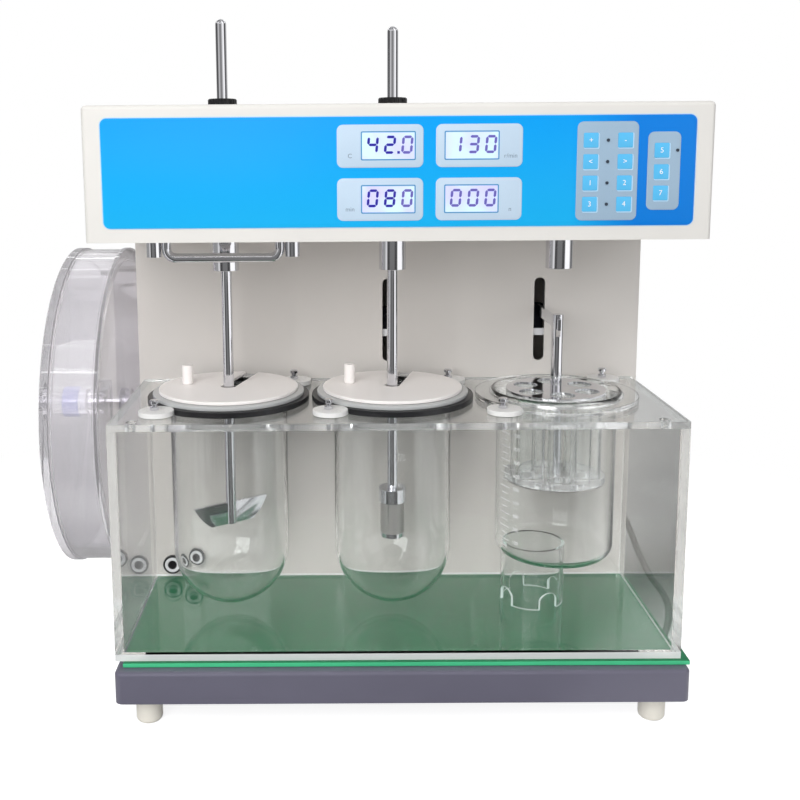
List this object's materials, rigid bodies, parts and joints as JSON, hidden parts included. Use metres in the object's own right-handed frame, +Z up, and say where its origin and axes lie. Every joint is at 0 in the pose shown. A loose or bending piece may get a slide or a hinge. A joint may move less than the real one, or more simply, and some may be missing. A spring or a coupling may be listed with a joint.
{
  "type": "tablet disintegration tester",
  "caption": "Bench tablet tester: water bath with stirred glass vessels, a lifting basket rack in a beaker, a clear tumbling drum at the side and a control head on a column.",
  "frame": {"origin": "middle of the machine's footprint on the bench, without its mains cord", "axes": "+Z up, +Y from the control panel towards the rear, +X to the operator's right"},
  "size_m": [0.6526, 0.4465, 0.6067],
  "materials": {
    "base_grey": "satin enamel",
    "foot_cream": "matt",
    "mat_green": "matt",
    "column_grey": "satin enamel",
    "head_cream": "satin enamel",
    "panel_blue": "printed film",
    "display_glass": "clear lens over a lit display",
    "key_blue": "embossed film",
    "lamp_red": "clear",
    "acrylic": "clear polished",
    "smoked_acrylic": "clear polished",
    "port_black": "satin",
    "pump_grey": "matt",
    "glass": "clear",
    "gasket_black": "satin",
    "lid_white": "satin",
    "cam_white": "satin",
    "steel": "polished stainless",
    "mesh_steel": "woven wire",
    "bearing_steel": "machined",
    "motor_black": "painted",
    "belt_black": "matt",
    "alloy": "anodised",
    "knob_black": "satin",
    "knob_clear": "clear with a blue band",
    "cord_black": "matt"
  },
  "bodies": {
    "machine": {"base_tray": "base_grey", "base_feet": "foot_cream", "bench_mat": "mat_green", "column_shell": "column_grey", "column_rear_panel": "column_grey", "head_shell": "head_cream", "control_panel": "panel_blue", "display_windows": "display_glass", "keypad_keys": "key_blue", "status_lamps": "lamp_red", "water_tank": "acrylic", "tank_top_plate": "acrylic", "tank_ports": "port_black", "circulation_pump": "pump_grey", "vessel_left": "glass", "vessel_middle": "glass", "vessel_gaskets": "gasket_black", "beaker": "glass", "beaker_collar": "acrylic", "beaker_stand": "acrylic", "clamp_thumbscrews": "steel", "head_handle": "steel", "spindle_bearings": "bearing_steel", "stirrer_motor": "motor_black", "drive_belt": "belt_black", "lift_drive": "bearing_steel", "drum_gearmotor": "motor_black", "cord_gland": "cord_black", "power_cord": "cord_black", "cord_coil": "cord_black", "power_plug": "cord_black"},
    "spindle_left": {"spindle_left": "steel"},
    "spindle_middle": {"spindle_middle": "steel"},
    "spindle_right": {"spindle_right": "steel"},
    "lock_knob_left": {"lock_knob_left": "knob_black"},
    "lock_knob_middle": {"lock_knob_middle": "knob_black"},
    "paddle": {"paddle": "steel"},
    "basket_shaft": {"basket_shaft": "steel"},
    "mesh_basket": {"mesh_basket": "mesh_steel"},
    "lid_left": {"lid_left": "lid_white"},
    "sampling_plug_left": {"sampling_plug_left": "lid_white"},
    "lid_middle": {"lid_middle": "lid_white"},
    "sampling_plug_middle": {"sampling_plug_middle": "lid_white"},
    "clamp_cam_1": {"clamp_cam_1": "cam_white"},
    "clamp_cam_2": {"clamp_cam_2": "cam_white"},
    "clamp_cam_3": {"clamp_cam_3": "cam_white"},
    "clamp_cam_4": {"clamp_cam_4": "cam_white"},
    "clamp_cam_5": {"clamp_cam_5": "cam_white"},
    "clamp_cam_6": {"clamp_cam_6": "cam_white"},
    "lift_carriage": {"lift_carriage": "alloy", "hanging_arm": "steel"},
    "basket_rack": {"rack_hanger": "steel", "rack_plates": "acrylic", "rack_tubes": "glass", "rack_sieve": "mesh_steel"},
    "drum": {"drum_body": "smoked_acrylic", "drum_cover": "smoked_acrylic", "drum_shaft": "steel"},
    "drum_knob": {"drum_knob": "knob_clear"},
    "rear_switch": {"rear_switch": "knob_black"}
  },
  "joints": [
    {"name": "spindle_left_spin", "type": "hinge", "parent": "machine", "child": "spindle_left", "pos_m": [-0.11125, -0.0765, 0.4185], "axis": [0, 0, 1], "continuous": true},
    {"name": "spindle_middle_spin", "type": "hinge", "parent": "machine", "child": "spindle_middle", "pos_m": [0.03875, -0.0765, 0.4185], "axis": [0, 0, 1], "continuous": true},
    {"name": "spindle_right_spin", "type": "hinge", "parent": "machine", "child": "spindle_right", "pos_m": [0.18875, -0.0765, 0.4185], "axis": [0, 0, 1], "continuous": true},
    {"name": "lock_knob_left_turn", "type": "hinge", "parent": "spindle_left", "child": "lock_knob_left", "pos_m": [-0.11125, -0.0765, 0.53], "axis": [0, 0, 1], "continuous": true},
    {"name": "lock_knob_middle_turn", "type": "hinge", "parent": "spindle_middle", "child": "lock_knob_middle", "pos_m": [0.03875, -0.0765, 0.53], "axis": [0, 0, 1], "continuous": true},
    {"name": "paddle_height", "type": "slide", "parent": "spindle_left", "child": "paddle", "axis": [0, 0, 1], "range_m": [-0.04, 0.07]},
    {"name": "basket_height", "type": "slide", "parent": "spindle_middle", "child": "basket_shaft", "axis": [0, 0, 1], "range_m": [-0.03, 0.08]},
    {"name": "mesh_basket_pull", "type": "slide", "parent": "basket_shaft", "child": "mesh_basket", "axis": [0, 0, 1], "range_m": [-0.02, 0]},
    {"name": "lid_left_lift", "type": "slide", "parent": "machine", "child": "lid_left", "axis": [0, 0, 1], "range_m": [0, 0.09]},
    {"name": "sampling_plug_left_lift", "type": "slide", "parent": "lid_left", "child": "sampling_plug_left", "axis": [0, 0, 1], "range_m": [0, 0.03]},
    {"name": "lid_middle_lift", "type": "slide", "parent": "machine", "child": "lid_middle", "axis": [0, 0, 1], "range_m": [0, 0.09]},
    {"name": "sampling_plug_middle_lift", "type": "slide", "parent": "lid_middle", "child": "sampling_plug_middle", "axis": [0, 0, 1], "range_m": [0, 0.03]},
    {"name": "clamp_cam_1_turn", "type": "hinge", "parent": "machine", "child": "clamp_cam_1", "pos_m": [-0.16925, -0.1365, 0.2705], "axis": [0, 0, 1], "continuous": true},
    {"name": "clamp_cam_2_turn", "type": "hinge", "parent": "machine", "child": "clamp_cam_2", "pos_m": [-0.05375, -0.017, 0.2705], "axis": [0, 0, 1], "continuous": true},
    {"name": "clamp_cam_3_turn", "type": "hinge", "parent": "machine", "child": "clamp_cam_3", "pos_m": [-0.01925, -0.1365, 0.2705], "axis": [0, 0, 1], "continuous": true},
    {"name": "clamp_cam_4_turn", "type": "hinge", "parent": "machine", "child": "clamp_cam_4", "pos_m": [0.09625, -0.017, 0.2705], "axis": [0, 0, 1], "continuous": true},
    {"name": "clamp_cam_5_turn", "type": "hinge", "parent": "machine", "child": "clamp_cam_5", "pos_m": [0.13075, -0.1365, 0.2705], "axis": [0, 0, 1], "continuous": true},
    {"name": "clamp_cam_6_turn", "type": "hinge", "parent": "machine", "child": "clamp_cam_6", "pos_m": [0.24625, -0.017, 0.2705], "axis": [0, 0, 1], "continuous": true},
    {"name": "rack_lift", "type": "slide", "parent": "machine", "child": "lift_carriage", "axis": [0, 0, 1], "range_m": [-0.033, 0.022]},
    {"name": "basket_rack_unhook", "type": "slide", "parent": "lift_carriage", "child": "basket_rack", "axis": [0, 0, 1], "range_m": [0, 0.004]},
    {"name": "drum_spin", "type": "hinge", "parent": "machine", "child": "drum", "pos_m": [-0.25, 0.0255, 0.241], "axis": [1, 0, 0], "continuous": true},
    {"name": "drum_knob_turn", "type": "hinge", "parent": "drum", "child": "drum_knob", "pos_m": [-0.285, 0.0255, 0.241], "axis": [1, 0, 0], "continuous": true},
    {"name": "rear_switch_rock", "type": "hinge", "parent": "machine", "child": "rear_switch", "pos_m": [0.18875, 0.1341, 0.117], "axis": [1, 0, 0], "range_deg": [0, 18]}
  ],
  "couplings": [
    {"joint": "spindle_middle_spin", "follows": "spindle_left_spin", "ratio": 1},
    {"joint": "spindle_right_spin", "follows": "spindle_left_spin", "ratio": 1}
  ]
}
